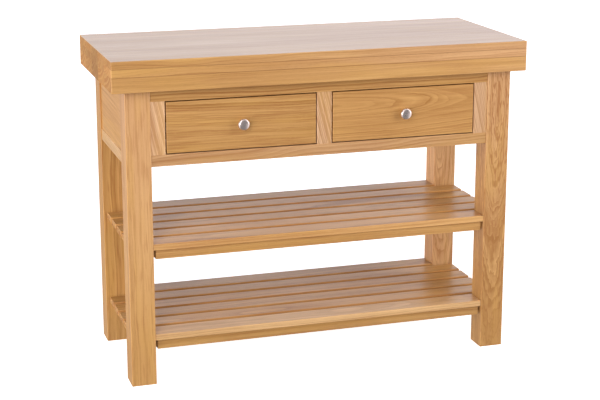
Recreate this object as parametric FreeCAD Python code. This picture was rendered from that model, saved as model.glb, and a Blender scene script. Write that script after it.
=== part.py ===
import FreeCAD, Part
import math
import os

# Kitchen island in solid oak: a thick worktop on four legs, two drawers and two slatted shelves.
# Millimetres. X runs along the front, left to right, Y from front to back, Z up from the floor.

# Worktop, three boards glued face to face
top_width = 1170.0
top_depth = 486.0
total_height = 900.0
upper_board = 21.0
middle_board = 22.0
lower_board = 41.0
side_overhang = 37.0
front_overhang = 23.0
top_arris = 2.0
glue_groove = 0.5

# Legs
leg_size = 68.0
leg_arris = 1.5

# Frieze: a frame round the drawers in front, panels over a rail at the ends and the back
frieze_height = 206.0
frame_setback = 2.5
frame_thickness = 22.0
top_rail_height = 31.0
bottom_rail_height = 31.0
side_stile_width = 39.0
centre_stile_width = 42.0
panel_setback = 4.0
panel_thickness = 18.0
end_rail_setback = 2.5
end_rail_thickness = 22.0
board_arris = 1.0

# Mortise and tenon joints, with stub tenons where the wood is thin
tenon_thickness = 8.0
tenon_length = 20.0
tenon_shoulder = 4.0
stub_length = 10.0
mortise_wall = 1.0
joint_clearance = 0.1

# Shelves: slats on a frame of rails, the outer two slats fitted between the legs
upper_shelf_top = 397.0
lower_shelf_top = 142.0
slat_thickness = 17.0
slat_gap = 15.0
slat_setback = 2.0
slat_end_setback = 8.0
slat_end_clearance = 0.5
slat_arris = 1.5
inner_slats = 4
shelf_rail_height = 26.0
shelf_rail_thickness = 22.0
long_rail_setback = 7.0
long_rail_relief = 7.0
short_rail_setback = 27.0

# Drawers, with lapped dovetails at the front
drawer_gap = 3.2
drawer_front_thickness = 20.0
drawer_side_thickness = 12.0
drawer_back_thickness = 12.0
drawer_back_inset = 8.0
drawer_back_drop = 5.0
drawer_bottom_thickness = 6.0
drawer_bottom_lift = 8.0
drawer_headroom = 4.0
groove_depth = 6.0
housing_depth = 4.0
dovetail_lap = 6.0
tail_count = 3
tail_root = 24.0
tail_flare = 2.5

# Drawer runners with their guides, kickers over the drawers, and stops behind them
slide_clearance = 0.3
guide_clearance = 1.0
guide_height = 18.0
runner_thickness = 22.0
runner_ledge = 4.0
runner_leg_gap = 1.0
stop_depth = 15.0
stop_height = 20.0

# Knobs, with the slope at the edge of the dome in degrees
knob_diameter = 32.0
knob_projection = 24.0
knob_slope = 16.0
knob_round = 5.5
knob_rim = 2.0
knob_base_diameter = 17.0
knob_base_height = 3.0
knob_neck_diameter = 11.0
knob_neck_height = 9.0

# Screws
screw_radius = 2.0
screw_length = 25.0
screw_head_radius = 4.0
screw_head_height = 2.5
screw_slot_width = 1.2
screw_slot_depth = 1.2
screw_bite = 10.0
screw_inset = 60.0
screw_clearance = 0.1
screw_head_clearance = 0.5

# Planes that the pieces share
leg_outer_x = top_width / 2 - side_overhang
leg_outer_y = top_depth / 2 - front_overhang
leg_inner_x = leg_outer_x - leg_size
leg_inner_y = leg_outer_y - leg_size
leg_top = total_height - upper_board - middle_board - lower_board
frieze_bottom = leg_top - frieze_height
opening_bottom = frieze_bottom + bottom_rail_height
opening_top = leg_top - top_rail_height
opening_inner_x = centre_stile_width / 2
opening_outer_x = leg_inner_x - side_stile_width
frame_front = frame_setback - leg_outer_y
frame_back = frame_front + frame_thickness
panel_inner_y = leg_outer_y - panel_setback - panel_thickness
back_rail_inner_y = leg_outer_y - end_rail_setback - end_rail_thickness
back_inner_y = min(panel_inner_y, back_rail_inner_y)
housing = (min(frame_thickness, panel_thickness, end_rail_thickness) - tenon_thickness) / 2 - mortise_wall

drawer_outer_x = opening_outer_x - drawer_gap
drawer_inner_x = opening_inner_x + drawer_gap
drawer_floor = opening_bottom + drawer_gap
drawer_side_top = opening_top - drawer_headroom
drawer_front_back = frame_front + drawer_front_thickness
drawer_rear = back_inner_y - stop_depth - slide_clearance
drawer_box_outer_x = drawer_outer_x - drawer_side_thickness
drawer_box_inner_x = drawer_inner_x + drawer_side_thickness
drawer_panel_bottom = drawer_floor + drawer_bottom_lift
drawer_panel_top = drawer_panel_bottom + drawer_bottom_thickness
drawer_back_y = (drawer_rear - drawer_back_inset - drawer_back_thickness, drawer_rear - drawer_back_inset)
runner_top = drawer_floor - slide_clearance
runner_bottom = runner_top - runner_thickness

AXIS = {"x": FreeCAD.Vector(1, 0, 0), "y": FreeCAD.Vector(0, 1, 0), "z": FreeCAD.Vector(0, 0, 1)}
SIDES = {"left": -1, "right": 1}
ENDS = {"front": -1, "back": 1}

nodes = {}


def span(sign, near, far):
    """Low and high value of a stretch that lies on one side of the middle plane."""
    return tuple(sorted((sign * near, sign * far)))


def middle(stretch, width):
    """The middle part of a stretch, of a given width."""
    centre = sum(stretch) / 2
    return (centre - width / 2, centre + width / 2)


def inset(stretch, margin):
    return (stretch[0] + margin, stretch[1] - margin)


def block(x, y, z):
    """A box from three (low, high) stretches."""
    corner = FreeCAD.Vector(x[0], y[0], z[0])
    return Part.makeBox(x[1] - x[0], y[1] - y[0], z[1] - z[0], corner)


def room(boxes, clearance=joint_clearance):
    """The mortises for a list of tenon boxes."""
    return [block(*(inset(stretch, -clearance) for stretch in box)) for box in boxes]


def edges_along(shape, axes):
    """The straight edges of a shape that run along the named axes."""
    found = []
    for edge in shape.Edges:
        run = edge.tangentAt(edge.FirstParameter)
        if any(abs(run.dot(AXIS[name])) > 0.999 for name in axes):
            found.append(edge)
    return found


def board(x, y, z, eased, radius=board_arris):
    """A board with its arrises along the named axes rounded over."""
    blank = block(x, y, z)
    return blank.makeFillet(radius, edges_along(blank, eased))


def jointed(shape, tenons=(), cuts=()):
    """A board with tenons added and mortises, grooves and holes cut."""
    for tenon in tenons:
        shape = shape.fuse(block(*tenon))
    for cut in cuts:
        shape = shape.cut(cut)
    return shape.removeSplitter()


def screw(length):
    """A slotted screw along +Z, with its head below the origin."""
    shank = Part.makeCylinder(screw_radius, length)
    head = Part.makeCylinder(screw_head_radius, screw_head_height, -AXIS["z"] * screw_head_height)
    slot = block(
        (-screw_head_radius, screw_head_radius),
        (-screw_slot_width / 2, screw_slot_width / 2),
        (-screw_head_height, screw_slot_depth - screw_head_height),
    )
    return shank.fuse(head).cut(slot).removeSplitter()


def screw_up(x, y, seat, length):
    """A screw driven upwards, with the underside of its head at the seat."""
    return screw(length).translated(FreeCAD.Vector(x, y, seat))


def screw_way(x, y, low, seat, length):
    """The hole for such a screw: a counterbore from below, then the shank's hole."""
    wide = screw_head_radius + screw_head_clearance
    counterbore = Part.makeCylinder(wide, seat - low, FreeCAD.Vector(x, y, low))
    narrow = screw_radius + screw_clearance
    hole = Part.makeCylinder(narrow, length + screw_clearance, FreeCAD.Vector(x, y, seat))
    return counterbore.fuse(hole)


# Tenons of the rails, from the shoulders at the legs


def long_tenons(y, z, relief=0.0):
    """Tenons at both ends of a rail that runs along X and stops the relief short of the legs."""
    across = middle(y, tenon_thickness)
    return [
        (span(sign, leg_inner_x - relief, leg_inner_x + tenon_length), across, inset(z, tenon_shoulder))
        for sign in SIDES.values()
    ]


def short_tenons(x, z):
    """Tenons at both ends of a rail that runs along Y between the legs."""
    across = middle(x, tenon_thickness)
    return [
        (across, span(sign, leg_inner_y, leg_inner_y + tenon_length), inset(z, tenon_shoulder))
        for sign in ENDS.values()
    ]


# Stretches of the frieze members

long_x = (-leg_inner_x, leg_inner_x)
short_y = (-leg_inner_y, leg_inner_y)
frame_y = (frame_front, frame_back)
top_rail_z = (opening_top, leg_top)
bottom_rail_z = (frieze_bottom, opening_bottom)
panel_z = (opening_bottom, leg_top)
back_panel_y = span(1, panel_inner_y, panel_inner_y + panel_thickness)
back_rail_y = span(1, back_rail_inner_y, back_rail_inner_y + end_rail_thickness)
frame_tongue_y = middle(frame_y, tenon_thickness)
back_tongue_y = middle(back_panel_y, tenon_thickness)
stub_below = (opening_bottom - stub_length, opening_bottom)
stub_above = (opening_top, opening_top + stub_length)

stiles = {
    "left": span(-1, opening_outer_x, leg_inner_x),
    "centre": (-opening_inner_x, opening_inner_x),
    "right": span(1, opening_outer_x, leg_inner_x),
}


def side_panel_x(side):
    outer = leg_outer_x - panel_setback
    return span(side, outer - panel_thickness, outer)


def side_rail_x(side):
    outer = leg_outer_x - end_rail_setback
    return span(side, outer - end_rail_thickness, outer)


def side_tongues(side):
    """Tongues of an end panel: into both legs and into the rail below it."""
    across = middle(side_panel_x(side), tenon_thickness)
    ends = [(across, span(sign, leg_inner_y, leg_inner_y + stub_length), panel_z) for sign in ENDS.values()]
    return ends + [(across, short_y, stub_below)]


back_tongues = [
    (span(sign, leg_inner_x, leg_inner_x + stub_length), back_tongue_y, panel_z) for sign in SIDES.values()
] + [(long_x, back_tongue_y, stub_below)]


def stile_stubs(x):
    wide = inset(x, tenon_shoulder)
    return [(wide, frame_tongue_y, stub_below), (wide, frame_tongue_y, stub_above)]


# Bearers that run from front to back, over and under the drawers

bearers = {
    "left": span(-1, drawer_box_outer_x - runner_ledge, leg_inner_x - runner_leg_gap),
    "centre": (-drawer_box_inner_x - runner_ledge, drawer_box_inner_x + runner_ledge),
    "right": span(1, drawer_box_outer_x - runner_ledge, leg_inner_x - runner_leg_gap),
}
guides = {
    "left": span(-1, drawer_outer_x + guide_clearance, leg_inner_x - runner_leg_gap),
    "centre": inset((-drawer_inner_x, drawer_inner_x), guide_clearance),
    "right": span(1, drawer_outer_x + guide_clearance, leg_inner_x - runner_leg_gap),
}
bearer_y = (frame_back, back_inner_y)
kicker_screw_y = inset(bearer_y, screw_inset)
kicker_seat = leg_top - (screw_length - screw_bite)


def bearer_stubs(x, z, back_face):
    """Stubs that house a bearer in the front rail and in the member behind it."""
    wide = inset(x, tenon_shoulder)
    tall = middle(z, tenon_thickness)
    front_end = (frame_back - housing, frame_back)
    back_end = (back_inner_y, back_face + housing)
    return [(wide, front_end, tall), (wide, back_end, tall)]


runner_z = (runner_bottom, runner_top)
runner_stubs = {name: bearer_stubs(x, runner_z, back_rail_inner_y) for name, x in bearers.items()}
kicker_stubs = {name: bearer_stubs(x, top_rail_z, panel_inner_y) for name, x in bearers.items()}


def kicker_screws(name):
    x = sum(bearers[name]) / 2
    return [(x, y) for y in kicker_screw_y]


# Shelf members

long_rail_outer = leg_outer_y - long_rail_setback
short_rail_outer = leg_outer_x - short_rail_setback
long_rails_y = {
    end: span(sign, long_rail_outer - shelf_rail_thickness, long_rail_outer)
    for end, sign in ENDS.items()
}
short_rails_x = {
    side: span(sign, short_rail_outer - shelf_rail_thickness, short_rail_outer)
    for side, sign in SIDES.items()
}
shelf_tops = {"upper": upper_shelf_top, "lower": lower_shelf_top}


def shelf_rail_z(shelf):
    top = shelf_tops[shelf] - slat_thickness
    return (top - shelf_rail_height, top)


def slat_stretches():
    """X and Y stretches of the slats, from the front to the back."""
    between = inset(long_x, slat_end_clearance)
    past = inset((-leg_outer_x, leg_outer_x), slat_end_setback)
    free = 2 * (leg_inner_y - slat_gap) - (inner_slats - 1) * slat_gap
    width = free / inner_slats
    first = slat_gap - leg_inner_y
    inner = [first + i * (width + slat_gap) for i in range(inner_slats)]
    outer = {end: span(sign, leg_inner_y, leg_outer_y - slat_setback) for end, sign in ENDS.items()}
    rows = [(past, (start, start + width)) for start in inner]
    return [(between, outer["front"])] + rows + [(between, outer["back"])]


def slat_screws():
    """X and Y of the screws that hold the slats: outer ones to the long rails, inner ones to the short."""
    slats = slat_stretches()
    places = []
    for end in ENDS:
        y = sum(long_rails_y[end]) / 2
        places += [(x, y) for x in (long_x[0] + screw_inset, 0.0, long_x[1] - screw_inset)]
    for side in SIDES:
        x = sum(short_rails_x[side]) / 2
        places += [(x, sum(y) / 2) for _, y in slats[1:-1]]
    return places


def shelf_seat(shelf):
    return shelf_rail_z(shelf)[1] - (screw_length - screw_bite)


def shelf_screw_ways(shelf):
    low = shelf_rail_z(shelf)[0] - screw_clearance
    return [screw_way(x, y, low, shelf_seat(shelf), screw_length) for x, y in slat_screws()]


def lowest_edges(shape):
    return min(shape.Faces, key=lambda face: face.CenterOfMass.z).Edges


def highest_edges(shape):
    return max(shape.Faces, key=lambda face: face.CenterOfMass.z).Edges


def glue_line(z):
    """The fine V-grooves that show a glue line along the front and back of the worktop."""
    grooves = []
    for sign in ENDS.values():
        edge = sign * top_depth / 2
        corners = [
            FreeCAD.Vector(-top_width / 2, edge + sign * glue_groove, z - 2 * glue_groove),
            FreeCAD.Vector(-top_width / 2, edge + sign * glue_groove, z + 2 * glue_groove),
            FreeCAD.Vector(-top_width / 2, edge - sign * glue_groove, z),
        ]
        section = Part.Face(Part.makePolygon(corners, True))
        grooves.append(section.extrude(AXIS["x"] * top_width))
    return grooves


def make_worktop():
    z = leg_top
    x = (-top_width / 2, top_width / 2)
    y = (-top_depth / 2, top_depth / 2)
    holes = [
        screw_way(px, py, kicker_seat - screw_clearance, kicker_seat, screw_length)
        for name in bearers
        for px, py in kicker_screws(name)
    ]
    for name, thickness in (("lower", lower_board), ("middle", middle_board), ("upper", upper_board)):
        blank = block(x, y, (z, z + thickness))
        rounded = edges_along(blank, "z")
        if name == "upper":
            rounded += highest_edges(blank)
        if name == "lower":
            rounded += lowest_edges(blank)
        cuts = list(holes) if name == "lower" else glue_line(z)
        if name != "upper":
            cuts += glue_line(z + thickness)
        nodes[f"worktop_{name}_board"] = jointed(blank.makeFillet(top_arris, rounded), cuts=cuts)
        z += thickness


def make_legs():
    mortises = room(long_tenons(frame_y, top_rail_z) + long_tenons(frame_y, bottom_rail_z))
    mortises += room(long_tenons(back_rail_y, bottom_rail_z) + back_tongues[:2])
    for side, sign in SIDES.items():
        mortises += room(short_tenons(side_rail_x(sign), bottom_rail_z) + side_tongues(sign)[:2])
    for shelf in shelf_tops:
        z = shelf_rail_z(shelf)
        for y in long_rails_y.values():
            mortises += room(long_tenons(y, z))
        for x in short_rails_x.values():
            mortises += room(short_tenons(x, z))
    for end, end_sign in ENDS.items():
        for side, side_sign in SIDES.items():
            x = span(side_sign, leg_inner_x, leg_outer_x)
            y = span(end_sign, leg_inner_y, leg_outer_y)
            blank = block(x, y, (0.0, leg_top))
            leg = blank.makeFillet(leg_arris, edges_along(blank, "z") + lowest_edges(blank))
            reach = leg.BoundBox
            near = [cut for cut in mortises if cut.BoundBox.intersect(reach)]
            nodes[f"{end}_{side}_leg"] = jointed(leg, cuts=near)


def make_front_frame():
    stubs = [stub for x in stiles.values() for stub in stile_stubs(x)]
    runner_ends = [stub for pair in runner_stubs.values() for stub in pair]
    kicker_ends = [stub for pair in kicker_stubs.values() for stub in pair]
    top = board(long_x, frame_y, top_rail_z, "x")
    nodes["front_top_rail"] = jointed(top, long_tenons(frame_y, top_rail_z), room(stubs + kicker_ends))
    bottom = board(long_x, frame_y, bottom_rail_z, "x")
    bottom_tenons = long_tenons(frame_y, bottom_rail_z)
    nodes["front_bottom_rail"] = jointed(bottom, bottom_tenons, room(stubs + runner_ends))
    for name, x in stiles.items():
        stile = board(x, frame_y, (opening_bottom, opening_top), "z")
        nodes[f"{name}_stile"] = jointed(stile, stile_stubs(x))


def make_ends_and_back():
    for side, sign in SIDES.items():
        panel_x = side_panel_x(sign)
        rail_x = side_rail_x(sign)
        tongues = side_tongues(sign)
        nodes[f"{side}_side_panel"] = jointed(board(panel_x, short_y, panel_z, "y"), tongues)
        rail = board(rail_x, short_y, bottom_rail_z, "y")
        nodes[f"{side}_side_rail"] = jointed(rail, short_tenons(rail_x, bottom_rail_z), room(tongues[2:]))
    kicker_ends = [pair[1] for pair in kicker_stubs.values()]
    runner_ends = [pair[1] for pair in runner_stubs.values()]
    panel = board(long_x, back_panel_y, panel_z, "x")
    nodes["back_panel"] = jointed(panel, back_tongues, room(kicker_ends))
    rail = board(long_x, back_rail_y, bottom_rail_z, "x")
    cuts = room(back_tongues[2:] + runner_ends)
    nodes["back_rail"] = jointed(rail, long_tenons(back_rail_y, bottom_rail_z), cuts)


def make_bearers():
    for name, x in bearers.items():
        runner = jointed(block(x, bearer_y, runner_z), runner_stubs[name])
        guide = block(guides[name], bearer_y, (runner_top, runner_top + guide_height))
        nodes[f"{name}_runner"] = runner.fuse(guide).removeSplitter()
        ways = [
            screw_way(px, py, opening_top - screw_clearance, kicker_seat, screw_length)
            for px, py in kicker_screws(name)
        ]
        nodes[f"{name}_kicker"] = jointed(block(x, bearer_y, top_rail_z), kicker_stubs[name], ways)
    stop_y = (back_inner_y - stop_depth, back_inner_y)
    stop_z = (runner_top, runner_top + stop_height)
    stops = []
    for sign in SIDES.values():
        for x in ((drawer_inner_x, drawer_box_inner_x), (drawer_box_outer_x, drawer_outer_x)):
            stops.append(block(span(sign, *x), stop_y, stop_z))
    nodes["drawer_stops"] = Part.makeCompound(stops)


def make_shelf(shelf):
    z = shelf_rail_z(shelf)
    ways = shelf_screw_ways(shelf)
    for end, y in long_rails_y.items():
        rail = board(inset(long_x, long_rail_relief), y, z, "x")
        nodes[f"{shelf}_shelf_{end}_rail"] = jointed(rail, long_tenons(y, z, long_rail_relief), ways)
    for side, x in short_rails_x.items():
        nodes[f"{shelf}_shelf_{side}_rail"] = jointed(board(x, short_y, z, "y"), short_tenons(x, z), ways)
    slat_z = (z[1], shelf_tops[shelf])
    for number, (x, y) in enumerate(slat_stretches(), start=1):
        slat = board(x, y, slat_z, "xyz", slat_arris)
        nodes[f"{shelf}_shelf_slat_{number}"] = jointed(slat, cuts=ways)


def make_wood_screws():
    driven = [screw_up(x, y, kicker_seat, screw_length) for name in bearers for x, y in kicker_screws(name)]
    for shelf in shelf_tops:
        driven += [screw_up(x, y, shelf_seat(shelf), screw_length) for x, y in slat_screws()]
    nodes["wood_screws"] = Part.makeCompound(driven)


def dovetails(x, grow=0.0):
    """Tails on the front end of a drawer side, or the sockets for them, which are larger all round."""
    root_y = drawer_front_back + grow
    tip_y = frame_front + dovetail_lap - grow
    pitch = (drawer_side_top - drawer_floor) / tail_count
    tails = []
    for i in range(tail_count):
        z = drawer_floor + (i + 0.5) * pitch
        root = tail_root / 2 + grow
        tip = root + tail_flare
        outline = [(root_y, z - root), (root_y, z + root), (tip_y, z + tip), (tip_y, z - tip)]
        points = [FreeCAD.Vector(x[0] - grow, py, pz) for py, pz in outline]
        face = Part.Face(Part.makePolygon(points + points[:1]))
        tails.append(face.extrude(AXIS["x"] * (x[1] - x[0] + 2 * grow)))
    return tails


def make_knob(x, z):
    """A round knob turned about Y: a base, a waisted neck and a rounded head with a low dome."""
    head = knob_diameter / 2
    base = knob_base_diameter / 2
    neck = knob_neck_diameter / 2
    slope = math.radians(knob_slope)
    dome_radius = (head - knob_round) / math.sin(slope) + knob_round
    dome_centre = knob_projection - dome_radius
    round_centre = head - knob_round
    rim_height = dome_centre + (dome_radius - knob_round) * math.cos(slope)

    def at(radius, height):
        return FreeCAD.Vector(x + radius, frame_front - height, z)

    def on_dome(turn):
        return at(dome_radius * math.sin(turn), dome_centre + dome_radius * math.cos(turn))

    def on_round(turn):
        return at(round_centre + knob_round * math.sin(turn), rim_height + knob_round * math.cos(turn))

    waist = at((base + neck) / 2, knob_base_height + (knob_neck_height - knob_base_height) / 4)
    under_head = rim_height - knob_rim
    flare = at(neck + (head - neck) / 3, knob_neck_height + (under_head - knob_neck_height) * 2 / 3)
    edges = [
        Part.LineSegment(at(0, 0), at(base, 0)),
        Part.LineSegment(at(base, 0), at(base, knob_base_height)),
        Part.Arc(at(base, knob_base_height), waist, at(neck, knob_neck_height)),
        Part.Arc(at(neck, knob_neck_height), flare, at(head, under_head)),
        Part.LineSegment(at(head, under_head), at(head, rim_height)),
        Part.Arc(at(head, rim_height), on_round((math.pi / 2 + slope) / 2), on_round(slope)),
        Part.Arc(on_dome(slope), on_dome(slope / 2), at(0, knob_projection)),
        Part.LineSegment(at(0, knob_projection), at(0, 0)),
    ]
    outline = Part.Face(Part.Wire([edge.toShape() for edge in edges]))
    return outline.revolve(FreeCAD.Vector(x, 0, z), AXIS["y"], 360)


def make_drawer(name, sign):
    x = span(sign, drawer_inner_x, drawer_outer_x)
    inside_x = span(sign, drawer_box_inner_x, drawer_box_outer_x)
    z = (drawer_floor, opening_top - drawer_gap)
    centre = FreeCAD.Vector(sum(x) / 2, drawer_front_back, sum(z) / 2)
    sides_x = {"left": (x[0], inside_x[0]), "right": (inside_x[1], x[1])}
    sheet_z = (drawer_panel_bottom, drawer_panel_top)
    panel_x = inset(inside_x, joint_clearance - groove_depth)
    panel_y = (drawer_front_back - groove_depth + joint_clearance, drawer_back_y[1])
    panel_box = (panel_x, panel_y, sheet_z)
    back_x = inset(inside_x, joint_clearance - housing_depth)
    back_box = (back_x, drawer_back_y, (drawer_panel_top, drawer_side_top - drawer_back_drop))

    bottom_screw_x = (panel_x[0] + screw_inset, centre.x, panel_x[1] - screw_inset)
    bottom_screw_y = sum(drawer_back_y) / 2
    bottom_screw = drawer_bottom_thickness + screw_bite
    screws = [screw_up(px, bottom_screw_y, drawer_panel_bottom, bottom_screw) for px in bottom_screw_x]
    ways = [
        screw_way(px, bottom_screw_y, drawer_floor, drawer_panel_bottom, bottom_screw)
        for px in bottom_screw_x
    ]

    knob_length = drawer_front_thickness - screw_head_height + screw_bite
    knob_seat = centre - AXIS["y"] * screw_head_height
    turn = FreeCAD.Rotation(AXIS["z"], -AXIS["y"])
    knob_screw = screw(knob_length)
    knob_screw.Placement = FreeCAD.Placement(knob_seat, turn)
    knob_way = screw_way(0, 0, -screw_head_height - screw_clearance, 0, knob_length)
    knob_way.Placement = FreeCAD.Placement(knob_seat, turn)

    front = board(x, (frame_front, drawer_front_back), z, "xz")
    cuts = [knob_way] + room([panel_box])
    for side_x in sides_x.values():
        cuts += dovetails(side_x, joint_clearance)
    nodes[f"{name}_drawer_front"] = jointed(front, cuts=cuts)

    groove_y = (frame_front, drawer_rear + joint_clearance)
    groove = block(inset(panel_x, -joint_clearance), groove_y, inset(sheet_z, -joint_clearance))
    for side, side_x in sides_x.items():
        blank = block(side_x, (drawer_front_back, drawer_rear), (drawer_floor, drawer_side_top))
        for tail in dovetails(side_x):
            blank = blank.fuse(tail)
        nodes[f"{name}_drawer_{side}_side"] = jointed(blank, cuts=[groove] + room([back_box]))
    nodes[f"{name}_drawer_back"] = jointed(block(*back_box), cuts=ways)
    nodes[f"{name}_drawer_bottom"] = jointed(block(*panel_box), cuts=ways)
    nodes[f"{name}_drawer_knob"] = jointed(make_knob(centre.x, centre.z), cuts=[knob_way])
    nodes[f"{name}_drawer_screws"] = Part.makeCompound(screws + [knob_screw])


make_worktop()
make_legs()
make_front_frame()
make_ends_and_back()
make_bearers()
for shelf_name in shelf_tops:
    make_shelf(shelf_name)
make_wood_screws()
for drawer_name, drawer_sign in SIDES.items():
    make_drawer(drawer_name, drawer_sign)

os.makedirs("parts", exist_ok=True)
for node_name, node_shape in nodes.items():
    node_shape.exportStep(os.path.join("parts", node_name + ".step"))
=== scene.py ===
import math
import random

import bmesh
import bpy
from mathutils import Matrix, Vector


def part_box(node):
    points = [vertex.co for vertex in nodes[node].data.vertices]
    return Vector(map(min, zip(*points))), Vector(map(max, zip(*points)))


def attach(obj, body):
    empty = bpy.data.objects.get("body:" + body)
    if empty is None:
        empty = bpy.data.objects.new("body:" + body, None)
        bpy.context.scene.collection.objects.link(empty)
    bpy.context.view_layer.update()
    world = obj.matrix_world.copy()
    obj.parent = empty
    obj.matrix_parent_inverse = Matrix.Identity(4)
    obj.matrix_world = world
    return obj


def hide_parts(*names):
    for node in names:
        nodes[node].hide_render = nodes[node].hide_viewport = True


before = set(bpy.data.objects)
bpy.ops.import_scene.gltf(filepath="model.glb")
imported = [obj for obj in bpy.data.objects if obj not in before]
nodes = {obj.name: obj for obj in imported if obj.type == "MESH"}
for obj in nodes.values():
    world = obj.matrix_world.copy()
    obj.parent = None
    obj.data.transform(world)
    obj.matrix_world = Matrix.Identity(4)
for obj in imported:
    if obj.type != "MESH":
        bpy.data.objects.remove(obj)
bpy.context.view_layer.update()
print("frame:", len(nodes), "pieces")


class Wire:
    # a socket that takes part in Python sums
    def __init__(self, sheet, socket):
        self.sheet = sheet
        self.socket = socket

    def math(self, operation, *values):
        sockets = dict(enumerate(values))
        return self.sheet.add("ShaderNodeMath", {"operation": operation}, sockets)["Value"]

    def __add__(self, other):
        return self.math("ADD", self, other)

    def __radd__(self, other):
        return self.math("ADD", other, self)

    def __sub__(self, other):
        return self.math("SUBTRACT", self, other)

    def __rsub__(self, other):
        return self.math("SUBTRACT", other, self)

    def __mul__(self, other):
        return self.math("MULTIPLY", self, other)

    def __rmul__(self, other):
        return self.math("MULTIPLY", other, self)

    def __truediv__(self, other):
        return self.math("DIVIDE", self, other)

    def __rtruediv__(self, other):
        return self.math("DIVIDE", other, self)

    def __pow__(self, other):
        return self.math("POWER", self, other)

    def __rpow__(self, other):
        return self.math("POWER", other, self)

    def __abs__(self):
        return self.math("ABSOLUTE", self)

    def floor(self):
        return self.math("FLOOR", self)

    def fract(self):
        return self.math("FRACT", self)

    def low(self, other):
        return self.math("MINIMUM", self, other)

    def high(self, other):
        return self.math("MAXIMUM", self, other)

    def ease(self, start, end):
        # 0 before start, 1 after end, smooth between
        sockets = {"Value": self, "From Min": start, "From Max": end}
        settings = {"interpolation_type": "SMOOTHSTEP"}
        return self.sheet.add("ShaderNodeMapRange", settings, sockets)["Result"]


class Sheet:
    # the node tree of one finish
    def __init__(self, owner):
        owner.use_nodes = True
        self.tree = owner.node_tree
        self.tree.nodes.clear()

    def add(self, kind, settings=None, sockets=None):
        node = self.tree.nodes.new(kind)
        for name, value in (settings or {}).items():
            setattr(node, name, value)
        for key, value in (sockets or {}).items():
            socket = node.inputs[key] if isinstance(key, int) else self.find(node.inputs, key)
            if isinstance(value, Wire):
                self.tree.links.new(value.socket, socket)
            else:
                socket.default_value = value
        return {out.name: Wire(self, out) for out in node.outputs if out.enabled}

    def find(self, inputs, name):
        return next(socket for socket in inputs if socket.enabled and socket.name == name)

    def split(self, vector):
        parts = self.add("ShaderNodeSeparateXYZ", None, {"Vector": vector})
        return parts["X"], parts["Y"], parts["Z"]

    def noise(self, x, y, z, detail=2.0, roughness=0.5):
        place = self.add("ShaderNodeCombineXYZ", None, {"X": x, "Y": y, "Z": z})["Vector"]
        sockets = {"Vector": place, "Scale": 1.0, "Detail": detail, "Roughness": roughness}
        return self.add("ShaderNodeTexNoise", None, sockets)["Fac"]

    def noiseLine(self, place, detail=1.0, roughness=0.5):
        sockets = {"W": place, "Scale": 1.0, "Detail": detail, "Roughness": roughness}
        return self.add("ShaderNodeTexNoise", {"noise_dimensions": "1D"}, sockets)["Fac"]

    def chance(self, place):
        return self.add("ShaderNodeTexWhiteNoise", {"noise_dimensions": "1D"}, {"W": place})

    def blend(self, mask, first, second):
        sockets = {"Factor": mask, "A": first, "B": second}
        return self.add("ShaderNodeMix", {"data_type": "RGBA"}, sockets)["Result"]

    def shade(self, colour, gain):
        # a colour made brighter or darker by a value
        sockets = {0: colour, "Scale": gain}
        return self.add("ShaderNodeVectorMath", {"operation": "SCALE"}, sockets)["Vector"]

    def bump(self, strength, distance, height):
        sockets = {"Strength": strength, "Distance": distance, "Height": height}
        return self.add("ShaderNodeBump", None, sockets)["Normal"]

    def close(self, sockets):
        shader = self.add("ShaderNodeBsdfPrincipled", None, sockets)
        self.add("ShaderNodeOutputMaterial", None, {"Surface": shader["BSDF"]})


# Oak. Every board is cut from its own tree: the rings are rounds about a pith line near
# the board, so faces, edges and end grain belong together.
oak = {
    "golden": {"light": (0.585, 0.322, 0.108, 1), "dark": (0.35, 0.153, 0.037, 1)},
    "warm": {"light": (0.645, 0.375, 0.172, 1), "dark": (0.41, 0.186, 0.064, 1)},
    "amber": {"light": (0.66, 0.376, 0.144, 1), "dark": (0.40, 0.181, 0.049, 1)},
    "pale": {"light": (0.655, 0.415, 0.235, 1), "dark": (0.44, 0.23, 0.102, 1)},
    "straw": {"light": (0.67, 0.42, 0.195, 1), "dark": (0.44, 0.235, 0.085, 1)},
    "raw": {"light": (0.70, 0.48, 0.27, 1), "dark": (0.54, 0.33, 0.16, 1)},
    "honey": (0.60, 0.335, 0.085, 1),
    # dark grain strokes, also the colour of the painted shade in gaps
    "strokeAndGapShade": (0.34, 0.130, 0.036, 1),
    "pore": (0.20, 0.080, 0.022, 1),
    "endTint": (0.38, 0.140, 0.034, 1),
    "baseDepth": 0.30,
    "lineContrast": 0.85,
    "bandContrast": 1.2,
    "fibreContrast": 1.0,
    "cloudContrast": 0.8,
    "honeyTint": 0.3,
    "strokeDepth": 0.45,
    "poreDepth": 0.5,
    "poresInLateWood": 0.2,
    "rayLight": 0.25,
    # arrises lighter: rubbed wear together with a painted highlight
    "edgeRubAndHighlight": 0.12,
    "rubAndHighlightRaggedness": 0.003,
    "endBrightness": 0.82,
    "endContrast": 0.75,
    "endBands": 0.6,
    "glueDepth": 0.4,
    # strength of the painted shade on faces inside narrow gaps
    "paintedGapShade": 0.4,
    "rough": {"base": 0.34, "cloud": 0.12, "fibre": 0.14, "pores": 0.12,
              "rubbedAndLit": 0.05, "endGrain": 0.5, "inside": 0.35},
    "relief": {"fibre": 0.35, "pores": 0.9, "rings": 0.25, "rays": 0.12},
    "bump": 0.30,
    "bumpDistance": 0.0004,
    "indexOfRefraction": 1.48,
    "coatRoughness": 0.22,
}

# How a tree grew: waves per metre, and amounts in metres or rings
growth = {
    "swayAcross": 2.6,
    "swayDeep": 2.9,
    "swayDeepStart": 40,
    "swell": 0.010,
    "bandWaves": 110.0,
    "bandSeed": 3,
    "bandDetail": (3, 0.6),
    "crowdWaves": 45,
    "crowdRings": 3,
    "faintestRing": 0.15,
    "ringFall": 2.2,
    "rayWaves": (55, 40, 900),  # along the grain, from ring to ring, round the pith
}

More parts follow.
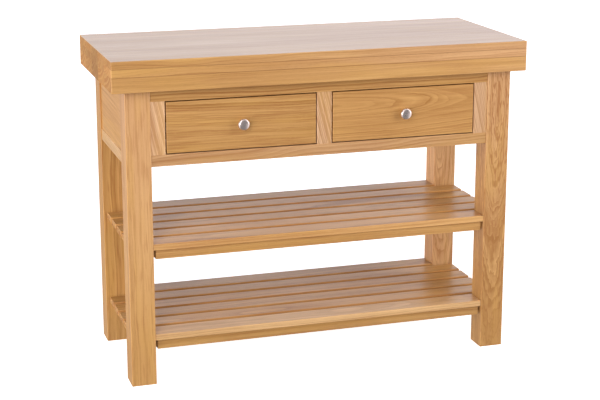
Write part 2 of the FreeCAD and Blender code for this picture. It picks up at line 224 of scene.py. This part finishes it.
# Staves of one board: how far their piths lie apart, where they were cut from their trees,
# and the least and added brightness of faces and ends
stave = {"pithScatter": 0.05, "slide": 9, "tone": (0.93, 0.14), "endTone": (0.8, 0.4)}

# Streaky noise: waves per metre along and across the grain, start, detail and roughness.
# Each board has its own pace for strokes.
streakNoise = {
    "swell": (3.5, 14, 0, 1, 0.5),
    "ripple": (22, 60, 0, 2, 0.6),
    "fibre": (4.5, 130, 0, 3, 0.68),
    "honey": (3, 30, 60, 2, 0.5),
    "strokes": (None, 230, 0, 1, 0.5),
    "cloud": (2.2, 10, 0, 1, 0.5),
    "pores": (95, 1500, 0, 1, 0.5),
}

# Between which limits a mark comes in: parts of a ring, noise values, or how squarely a face
# looks along an axis. The last two are metres from an arris or a glue line and go out.
edges = {
    "ringStart": (0.0, 0.12),
    "honey": (0.48, 0.68),
    "strokes": (0.53, 0.70),
    "pores": (0.56, 0.72),
    "rays": (0.62, 0.74),
    "endBands": (0.45, 0.62),
    "endGrain": (0.75, 0.97),
    "inside": (0.6, 0.9),
    "rubbedAndLit": (0.0004, 0.004),
    "glue": (0.0004, 0.0016),
}
turns = {"x": (0, 0, 0), "y": (0, 0, math.pi / 2), "z": (0, -math.pi / 2, 0)}
axes = {"x": (1, 0, 0), "y": (0, 1, 0), "z": (0, 0, 1)}


def spanOf(names):
    corners = [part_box(name) for name in names]
    low = Vector(min(corner[0][i] for corner in corners) for i in range(3))
    high = Vector(max(corner[1][i] for corner in corners) for i in range(3))
    return low, high


def makeOak(name, board):
    material = bpy.data.materials.new(name + "_oak")
    sheet = Sheet(material)
    low, high = spanOf(board["block"] or [name])
    centre, size = (low + high) / 2, (high - low) / 2
    sizes = {"x": size, "y": (size.y, size.x, size.z), "z": (size.z, size.y, size.x)}
    half = sizes[board["grain"]]
    seed = board["seed"]
    light, dark = oak[board["wood"]]["light"], oak[board["wood"]]["dark"]

    space = sheet.add("ShaderNodeTexCoord")
    sockets = {"Vector": space["Object"], "Location": centre, "Rotation": turns[board["grain"]]}
    own = sheet.add("ShaderNodeMapping", {"vector_type": "TEXTURE"}, sockets)["Vector"]
    along, across, deep = sheet.split(own)
    figure, marks = board["figure"], board["strokes"] * oak["strokeDepth"]
    if board["lowEndPalette"]:
        # the colour drifts and the figure fades towards the low end
        drift = 1 - along.ease(-half[0], half[0])
        light = sheet.blend(drift, light, oak[board["lowEndPalette"]]["light"])
        dark = sheet.blend(drift, dark, oak[board["lowEndPalette"]]["dark"])
        figure = figure * (1 - drift * board["fade"])
        marks = marks * (1 - drift * board["fade"])

    # the pith line, leaning and wandering along the board
    angle = math.radians(board["pithAngle"])
    tone = board["tone"]
    endTone = 1.0
    toSide, toDeep, shift = across, deep, along + seed
    if board["staves"]:
        # full-length staves glued edge to edge, each from its own tree
        width = 2 * half[1] / board["staves"]
        index = ((across + half[1]) / width).floor()
        chance = sheet.chance(index + seed)
        pick = sheet.add("ShaderNodeSeparateColor", None, {"Color": chance["Color"]})
        scatter = stave["pithScatter"]
        toSide = across + half[1] - (index + 0.5) * width + (pick["Red"] - 0.5) * scatter
        toDeep = deep + (pick["Green"] - 0.5) * scatter
        shift = shift + chance["Value"] * stave["slide"]
        tone = tone * (stave["tone"][0] + pick["Blue"] * stave["tone"][1])
        endTone = stave["endTone"][0] + chance["Value"] * stave["endTone"][1]
    swayAcross = sheet.noiseLine(shift * growth["swayAcross"]) - 0.5
    swayDeep = sheet.noiseLine(shift * growth["swayDeep"] + growth["swayDeepStart"]) - 0.5
    toSide = toSide - math.cos(angle) * board["pith"] - along * board["lean"][0]
    toDeep = toDeep - math.sin(angle) * board["pith"] - along * board["lean"][1]
    toSide = toSide - swayAcross * board["wander"]
    toDeep = toDeep - swayDeep * board["wander"]

    def streaks(kind, pace=None):
        lengthwise, crosswise, start, detail, roughness = streakNoise[kind]
        reach = shift * (pace or lengthwise) + start
        return sheet.noise(reach, across * crosswise, deep * crosswise, detail, roughness)

    # rings of uneven width and strength: a dark porous line, then paler late wood
    ring = (toSide * toSide + toDeep * toDeep) ** 0.5
    ring = ring + (streaks("swell") - 0.5) * growth["swell"]
    ring = ring + (streaks("ripple") - 0.5) * board["ripple"]
    bandPlace = ring * growth["bandWaves"] + seed * growth["bandSeed"]
    bands = sheet.noiseLine(bandPlace, *growth["bandDetail"])
    crowd = sheet.noiseLine(ring * growth["crowdWaves"] + seed) - 0.5
    count = ring / board["ringWidth"] + crowd * growth["crowdRings"]
    season = count.fract()
    faintest = growth["faintestRing"]
    strength = faintest + sheet.chance(count.floor() + seed)["Value"] * (1 - faintest)
    early = ((1 - season) ** growth["ringFall"]) * season.ease(*edges["ringStart"]) * strength

    fibre = streaks("fibre")
    honey = streaks("honey").ease(*edges["honey"])
    strokes = streaks("strokes", board["strokePace"]).ease(*edges["strokes"])
    cloud = streaks("cloud")
    porous = oak["poresInLateWood"] + early * (1 - oak["poresInLateWood"])
    pores = streaks("pores").ease(*edges["pores"]) * porous
    # rays are thin pale plates that stand out from the pith
    fan = toSide.math("ARCTAN2", toSide, toDeep) * board["pith"]
    rayAlong, rayOut, rayRound = growth["rayWaves"]
    rays = sheet.noise(shift * rayAlong, ring * rayOut, fan * rayRound, 1).ease(*edges["rays"])

    rings = early * oak["lineContrast"] + (bands - 0.5) * oak["bandContrast"]
    depth = oak["baseDepth"] + rings * figure
    depth = depth + (fibre - 0.5) * (oak["fibreContrast"] * board["fibre"])
    depth = depth + (cloud - 0.5) * oak["cloudContrast"]
    colour = sheet.blend(depth.high(0).low(1), light, dark)
    colour = sheet.blend(honey * oak["honeyTint"], colour, oak["honey"])
    colour = sheet.blend(strokes * marks, colour, oak["strokeAndGapShade"])
    colour = sheet.blend(pores * oak["poreDepth"], colour, oak["pore"])
    colour = sheet.blend(rays * oak["rayLight"], colour, light)

    # end grain drinks the finish, and arrises are lighter, partly from rubbing and partly as a
    # painted highlight
    sockets = {0: space["Normal"], 1: axes[board["grain"]]}
    facing = sheet.add("ShaderNodeVectorMath", {"operation": "DOT_PRODUCT"}, sockets)["Value"]
    endGrain = abs(facing).ease(*edges["endGrain"])
    endRings = early + bands.ease(*edges["endBands"]) * oak["endBands"]
    colour = sheet.blend(endGrain * endRings * oak["endContrast"], colour, oak["endTint"])
    # the middle one of the distances to the sides tells how far the nearest arris is
    rims = [half[i] - abs(place) for i, place in enumerate((along, across, deep))]
    edge = rims[0].low(rims[1]).high(rims[0].high(rims[1]).low(rims[2]))
    rubbedAndLit = 1 - (edge + (fibre - 0.5) * oak["rubAndHighlightRaggedness"]).ease(*edges["rubbedAndLit"])
    endGain = 1 + endGrain * (endTone * oak["endBrightness"] - 1)
    # painted highlight on the arrises, together with the lighter colour of rubbed wear
    gain = (1 + rubbedAndLit * oak["edgeRubAndHighlight"]) * endGain * tone
    inside = 0.0
    if board["hidden"]:
        # painted shade: the faces inside narrow gaps are darkened towards the dark stroke
        # colour
        ways = zip("xyz", sheet.split(space["Normal"]))
        inside = sum(abs(part).ease(*edges["inside"]) for way, part in ways
                     if way in board["hidden"])
        colour = sheet.blend(inside * oak["paintedGapShade"], colour, oak["strokeAndGapShade"])
    for level in board["glueLines"]:
        line = (1 - abs(deep - level).ease(*edges["glue"])) * (1 - endGrain)
        colour = sheet.blend(line * oak["glueDepth"], colour, oak["pore"])
    colour = sheet.shade(colour, gain)

    rough, relief = oak["rough"], oak["relief"]
    roughness = rough["base"] + (cloud - 0.5) * rough["cloud"] + (fibre - 0.5) * rough["fibre"]
    roughness = roughness + pores * rough["pores"] + rubbedAndLit * rough["rubbedAndLit"]
    roughness = roughness + endGrain * rough["endGrain"] + inside * rough["inside"]
    height = fibre * relief["fibre"] - pores * relief["pores"]
    height = height - early * relief["rings"] + rays * relief["rays"]
    normal = sheet.bump(oak["bump"], oak["bumpDistance"], height)
    sockets = {"Base Color": colour, "Roughness": roughness, "Normal": normal,
               "IOR": oak["indexOfRefraction"]}
    if board["polish"]:
        sockets["Coat Weight"] = (1 - endGrain) * board["polish"]
        sockets["Coat Roughness"] = oak["coatRoughness"]
    sheet.close(sockets)
    return material


def dressNode(name, material):
    mesh = nodes[name].data
    mesh.materials.clear()
    mesh.materials.append(material)


# How each board was sawn: pith is the distance from the board's middle to the heart of the
# tree, and pithAngle its direction (0 crosswise, 90 along the board's third side). lean tilts
# the pith, figure is the strength of the rings, hidden names the axes of faces inside gaps,
# which get painted shade.
plainBoard = {
    "grain": "x", "wood": "golden", "lowEndPalette": None, "fade": 0.0, "tone": 1.0, "polish": 0.0,
    "pithAngle": 90, "pith": 0.12, "lean": (0.0, 0.0), "wander": 0.012, "ripple": 0.0015,
    "ringWidth": 0.006, "figure": 1.0, "fibre": 1.0, "strokes": 0.6, "strokePace": 5.0,
    "staves": 0, "block": None, "glueLines": (), "hidden": "",
}
worktop = ["worktop_upper_board", "worktop_middle_board", "worktop_lower_board"]
worktopBoard = {
    "block": worktop, "seed": 3.1, "wood": "warm", "lowEndPalette": "golden", "tone": 0.96,
    "polish": 0.5, "staves": 5, "pithAngle": 55, "pith": 0.15, "lean": (0.01, 0.0),
    "figure": 0.6, "strokes": 0.4, "strokePace": 3.0, "glueLines": (0.021, -0.001),
}
slatLuck = {"pithAngle": (60, 120), "pith": (0.05, 0.14), "tone": (0.94, 1.06),
            "lean": (-0.03, 0.03)}
seedStep = 7.3
endings = {
    "_leg": {"grain": "z", "strokes": 1.0, "strokePace": 14.0},
    # the drawer fronts' edges inside the gaps get painted shade
    "_drawer_front": {"hidden": "xz"},
    # the front slats take a lighter wood: partly a paler board, partly painted light for the
    # extra light that reaches them past the worktop
    "_slat_1": {"wood": "amber", "tone": 0.98, "hidden": ""},
    "_stile": {"grain": "z"},
    "_shelf_left_rail": {"grain": "y"},
    "_shelf_right_rail": {"grain": "y"},
    "_runner": {"grain": "y", "wood": "raw"},
    "_kicker": {"grain": "y", "wood": "raw"},
    "_stops": {"wood": "raw"},
    "_drawer_left_side": {"grain": "y", "wood": "raw"},
    "_drawer_right_side": {"grain": "y", "wood": "raw"},
    "_drawer_bottom": {"grain": "y", "wood": "raw"},
    "_drawer_back": {"wood": "raw"},
}
boards = {
    "front_left_leg": {
        "wood": "warm", "lowEndPalette": "golden", "tone": 0.98, "pithAngle": 82, "pith": 0.16,
        "lean": (0, 0.01), "ripple": 0.005, "ringWidth": 0.0065, "figure": 0.8, "fibre": 0.6,
        "strokes": 0.8},
    "front_right_leg": {
        "wood": "warm", "lowEndPalette": "golden", "fade": 0.5, "tone": 0.93, "pithAngle": 180,
        "pith": 0.070, "lean": (0.11, 0.0), "wander": 0.020, "ripple": 0.010,
        "ringWidth": 0.0048, "figure": 2.3, "strokes": 1.7, "strokePace": 40.0},
    "back_left_leg": {"pithAngle": 60, "pith": 0.10, "figure": 1.1},
    "back_right_leg": {
        "wood": "warm", "tone": 0.95, "pithAngle": 165, "pith": 0.06, "lean": (0.10, 0.02),
        "wander": 0.02, "ripple": 0.008, "ringWidth": 0.005, "figure": 1.5},
    "left_stile": {
        "wood": "pale", "tone": 1.05, "pithAngle": 85, "pith": 0.14, "lean": (0, 0.24),
        "figure": 1.9},
    "centre_stile": {
        "wood": "pale", "tone": 0.98, "pithAngle": 85, "pith": 0.12, "lean": (0, 0.28),
        "figure": 2.6},
    "right_stile": {
        "wood": "pale", "tone": 0.95, "pithAngle": 70, "pith": 0.14, "lean": (0, 0.26),
        "figure": 1.8},
    "left_drawer_front": {
        "tone": 0.89, "pithAngle": 78, "pith": 0.22, "lean": (0, -0.02), "ripple": 0.004,
        "figure": 1.3, "strokes": 1.0, "strokePace": 8.0},
    "right_drawer_front": {
        "tone": 0.95, "pithAngle": 140, "pith": 0.050, "lean": (-0.10, 0.0), "wander": 0.02,
        "ripple": 0.004, "figure": 0.85},
    "left_side_panel": {
        "grain": "y", "tone": 1.05, "pithAngle": 80, "pith": 0.20, "lean": (0.0, 0.05)},
    "right_side_panel": {"grain": "y", "pithAngle": 10, "pith": 0.07, "lean": (0.06, 0)},
    "left_side_rail": {
        "grain": "y", "wood": "straw", "tone": 0.96, "pithAngle": 60, "pith": 0.10,
        "lean": (0.0, 0.12)},
    "right_side_rail": {"grain": "y", "wood": "straw", "pithAngle": 50, "pith": 0.10},
    "front_bottom_rail": {
        "wood": "warm", "tone": 0.84, "pithAngle": 40, "pith": 0.07, "lean": (0.03, 0.02),
        "figure": 1.3},
    "front_top_rail": {"tone": 0.93, "pithAngle": 70, "pith": 0.09, "figure": 1.3},
    # a paler wood on the lower front slat: partly a paler board, partly painted light for the
    # light and sheen on the front slat
    "lower_shelf_slat_1": {"wood": "straw", "tone": 1.02},
    "upper_shelf_front_rail": {"tone": 0.92},
    "lower_shelf_front_rail": {"tone": 0.84},
    "worktop_middle_board": {"seed": 5.7},
    "worktop_lower_board": {"wood": "amber", "seed": 9.2, "tone": 0.94},
    "back_panel": {"pithAngle": 5, "pith": 0.06, "lean": (0.05, 0.01), "wander": 0.02},
}


def dressBoards():
    luck = random.Random(11)
    names = sorted(name for name in nodes if not name.endswith(("_knob", "_screws")))
    for number, name in enumerate(names):
        board = dict(plainBoard, seed=number * seedStep)
        # slats: sawn at random, with painted shade on the faces inside their gaps
        if "_slat_" in name:
            board.update(pithAngle=luck.uniform(*slatLuck["pithAngle"]),
                         pith=luck.uniform(*slatLuck["pith"]),
                         tone=luck.uniform(*slatLuck["tone"]),
                         lean=[luck.uniform(*slatLuck["lean"]) for way in range(2)],
                         hidden="y")
        if name in worktop:
            board.update(worktopBoard)
        for ending, values in endings.items():
            if name.endswith(ending):
                board.update(values)
        board.update(boards.get(name, {}))
        dressNode(name, makeOak(name, board))
    print("oak:", len(names), "boards")


dressBoards()

# Metal, turned about the drawers' axis, with a brushed skin: waves per metre round and along it
nickel = {"colour": (0.96, 0.82, 0.745, 1), "shadow": (0.80, 0.68, 0.615, 1),
          "roughness": 0.29, "brush": 0.14}
steel = {"colour": (0.62, 0.61, 0.58, 1), "shadow": (0.48, 0.46, 0.42, 1),
         "roughness": 0.36, "brush": 0.20}
brushing = {"round": 900, "along": 6000, "cloud": 110, "cloudRoughness": 0.1,
            "bump": 0.12, "bumpDistance": 0.0001}


def makeMetal(name, metal):
    material = bpy.data.materials.new(name)
    sheet = Sheet(material)
    x, y, z = sheet.split(sheet.add("ShaderNodeTexCoord")["Object"])
    brushed = sheet.noise(x * brushing["round"], y * brushing["along"], z * brushing["round"])
    cloud = sheet.noise(*(way * brushing["cloud"] for way in (x, y, z)))
    roughness = metal["roughness"] + (brushed - 0.5) * metal["brush"]
    roughness = roughness + (cloud - 0.5) * brushing["cloudRoughness"]
    colour = sheet.blend(cloud, metal["colour"], metal["shadow"])
    normal = sheet.bump(brushing["bump"], brushing["bumpDistance"], brushed)
    sheet.close({"Base Color": colour, "Metallic": 1.0, "Roughness": roughness,
                 "Normal": normal})
    return material


# A turned knob: radius and height above the drawer front, in millimetres
knob = {
    "profile": [(0, 0), (8.1, 0), (8.5, 0.4), (8.5, 2.4), (8.1, 3.0), (6.7, 4.2), (5.7, 6.2),
                (5.5, 9.0), (6.3, 11.6), (9.4, 13.4), (13.2, 14.6), (15.4, 15.6), (16.0, 16.6),
                (16.0, 17.4), (15.5, 19.2), (14.2, 20.9), (12.2, 22.2), (9.0, 23.05),
                (5.0, 23.7), (2.0, 23.95), (0, 24.0)],
    "steps": 40,
    "merge": 0.02,
    "smoothing": 1,
}
millimetre = 0.001


def makeKnob(side, finish):
    low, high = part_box(side + "_drawer_knob")
    middle = Vector(((low.x + high.x) / 2, high.y, (low.z + high.z) / 2))
    bm = bmesh.new()
    points = [bm.verts.new(middle + Vector((radius, -height, 0)) * millimetre)
              for radius, height in knob["profile"]]
    lines = [bm.edges.new(pair) for pair in zip(points, points[1:])]
    bmesh.ops.spin(bm, geom=points + lines, cent=middle, axis=(0, 1, 0), angle=2 * math.pi,
                   steps=knob["steps"], use_merge=True)
    bmesh.ops.remove_doubles(bm, verts=bm.verts, dist=knob["merge"] * millimetre)
    bmesh.ops.recalc_face_normals(bm, faces=bm.faces)
    for face in bm.faces:
        face.smooth = True
    mesh = bpy.data.meshes.new(side + "_knob")
    bm.to_mesh(mesh)
    bm.free()
    mesh.materials.append(finish)
    piece = bpy.data.objects.new(side + "_knob", mesh)
    bpy.context.scene.collection.objects.link(piece)
    soft = piece.modifiers.new("round", "SUBSURF")
    soft.levels = soft.render_levels = knob["smoothing"]
    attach(piece, side + "_drawer")
    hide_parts(side + "_drawer_knob")


nickelFinish = makeMetal("satin_nickel_finish", nickel)
steelFinish = makeMetal("screw_steel_finish", steel)
for name in nodes:
    if name.endswith("_screws"):
        dressNode(name, steelFinish)
for side in ("left", "right"):
    dressNode(side + "_drawer_knob", nickelFinish)
    makeKnob(side, nickelFinish)
print("metal: knobs and screws")

floorLook = {"size": 60.0, "colour": (0.80, 0.80, 0.80, 1), "roughness": 0.8, "glow": 0.85}


def makeFloor():
    mesh = bpy.data.meshes.new("floor")
    bm = bmesh.new()
    bmesh.ops.create_grid(bm, x_segments=1, y_segments=1, size=floorLook["size"] / 2)
    bm.to_mesh(mesh)
    bm.free()
    floor = bpy.data.objects.new("floor", mesh)
    bpy.context.scene.collection.objects.link(floor)
    # light from below comes from the sky's ground value, so the floor doesn't flood the wood
    floor.visible_diffuse = False
    floor.visible_glossy = False
    floor.visible_shadow = False
    material = bpy.data.materials.new("pale_floor")
    Sheet(material).close({"Base Color": floorLook["colour"],
                           "Roughness": floorLook["roughness"], "Specular IOR Level": 0.0,
                           "Emission Color": (1, 1, 1, 1),
                           "Emission Strength": floorLook["glow"]})
    mesh.materials.append(material)


# Brightness of the studio's walls, and in pairs the limits between which each comes in or
# goes out, from 0 to 1 aside, forward, backward or up. panelTurns are degrees from the front,
# and panelEdge is radians from the middle of a panel.
sky = {
    "colour": (0.99, 0.975, 1.03, 1),
    "front": 0.24,
    "left": 6.5,
    "leftAside": (0.62, 0.80),
    "leftForward": (0.20, 0.40),
    "right": 2.0,
    "rightAside": (0.80, 0.95),
    "sideTop": (0.1, 0.3),
    "back": 1.25,
    "backward": (0.0, 0.7),
    "zenith": 0.12,
    "zenithRise": (0.38, 0.68),
    "panel": 3.2,
    "panelTurns": (-35, 68),
    "panelEdge": (0.14, 0.26),
    "panelTop": (0.72, 0.92),
    "canopy": 1.4,
    "canopyForward": (0.25, 0.45),
    "canopyFoot": (0.60, 0.74),
    "canopyTop": (0.86, 0.94),
    "ground": 0.24,
    "sideGround": 1.10,
    "groundAside": (0.4, 0.8),
    "groundFall": (0.0, 0.22),
    "backdrop": 1.3,
}


def makeSky():
    world = bpy.data.worlds.new("studio")
    bpy.context.scene.world = world
    sheet = Sheet(world)
    x, y, z = sheet.split(sheet.add("ShaderNodeTexCoord")["Generated"])
    forward = y * -1
    left = (x * -1).ease(*sky["leftAside"]) * forward.ease(*sky["leftForward"])
    right = x.ease(*sky["rightAside"])
    sides = (left * sky["left"] + right * sky["right"]) * (1 - z.ease(*sky["sideTop"]))
    wall = (y.ease(*sky["backward"]) * sky["back"]).high(sides).high(sky["front"])
    strength = wall + z.ease(*sky["zenithRise"]) * (sky["zenith"] - wall)
    # tall panels and a canopy in front, which the knobs mirror
    turn = x.math("ARCTAN2", x, forward)
    for degrees in sky["panelTurns"]:
        strip = 1 - abs(turn - math.radians(degrees)).ease(*sky["panelEdge"])
        strength = strength.high(strip * (1 - z.ease(*sky["panelTop"])) * sky["panel"])
    canopy = forward.ease(*sky["canopyForward"]) * z.ease(*sky["canopyFoot"])
    strength = strength.high(canopy * (1 - z.ease(*sky["canopyTop"])) * sky["canopy"])
    aside = abs(x).ease(*sky["groundAside"])
    ground = sky["ground"] + aside * (sky["sideGround"] - sky["ground"])
    strength = strength + (z * -1).ease(*sky["groundFall"]) * (ground - strength)
    # the eye sees a plain white backdrop behind the lights
    seen = sheet.add("ShaderNodeLightPath")["Is Camera Ray"]
    strength = strength + seen * (sky["backdrop"] - strength)
    sockets = {"Color": sky["colour"], "Strength": strength}
    light = sheet.add("ShaderNodeBackground", None, sockets)
    sheet.add("ShaderNodeOutputWorld", None, {"Surface": light["Background"]})


# Soft lights in metres, watts and degrees, which no reflection shows
lamps = {
    "key": {"place": (-1.41, -2.0, 1.55), "aim": (-0.45, 0.0, 0.80), "size": (0.75, 2.0),
            "power": 4.2, "spread": 75},
    "fill": {"place": (1.78, -2.0, 1.55), "aim": (0.45, 0.0, 0.80), "size": (0.75, 2.0),
             "power": 6.2, "spread": 75},
    "side": {"place": (-3.0, -0.40, 0.65), "aim": (-0.50, 0.0, 0.35), "size": (0.6, 1.4),
             "power": 6.0, "spread": 75},
    "kick": {"place": (-2.5, 1.6, 0.30), "aim": (0.48, 0.17, 0.45), "size": (0.3, 0.6),
             "power": 0.6, "spread": 16},
}


def makeSoftbox(name, lamp):
    light = bpy.data.lights.new(name, "AREA")
    light.shape = "RECTANGLE"
    light.size, light.size_y = lamp["size"]
    light.energy = lamp["power"]
    light.spread = math.radians(lamp["spread"])
    place = Vector(lamp["place"])
    softbox = bpy.data.objects.new(name, light)
    softbox.location = place
    softbox.visible_glossy = False
    softbox.rotation_euler = (Vector(lamp["aim"]) - place).to_track_quat("-Z", "Y").to_euler()
    bpy.context.scene.collection.objects.link(softbox)


makeFloor()
makeSky()
for name, lamp in lamps.items():
    makeSoftbox(name, lamp)

camera = {
    "place": (-1.2553, -3.9966, 1.5540),
    "yaw": -17.42,
    "pitch": 13.92,
    "lens": 89.906,
    "sensor": 36.0,
    "shiftUp": -0.05,
}


def makeCamera():
    lens = bpy.data.cameras.new("camera")
    lens.lens = camera["lens"]
    lens.sensor_width = camera["sensor"]
    lens.shift_y = camera["shiftUp"]
    eye = bpy.data.objects.new("camera", lens)
    eye.location = camera["place"]
    tilt, yaw = math.radians(90 - camera["pitch"]), math.radians(camera["yaw"])
    eye.rotation_euler = (tilt, 0, yaw)
    bpy.context.scene.collection.objects.link(eye)
    bpy.context.scene.camera = eye


makeCamera()
bpy.context.scene.view_settings.view_transform = "Standard"
print("studio: floor, sky, four soft lights and camera")
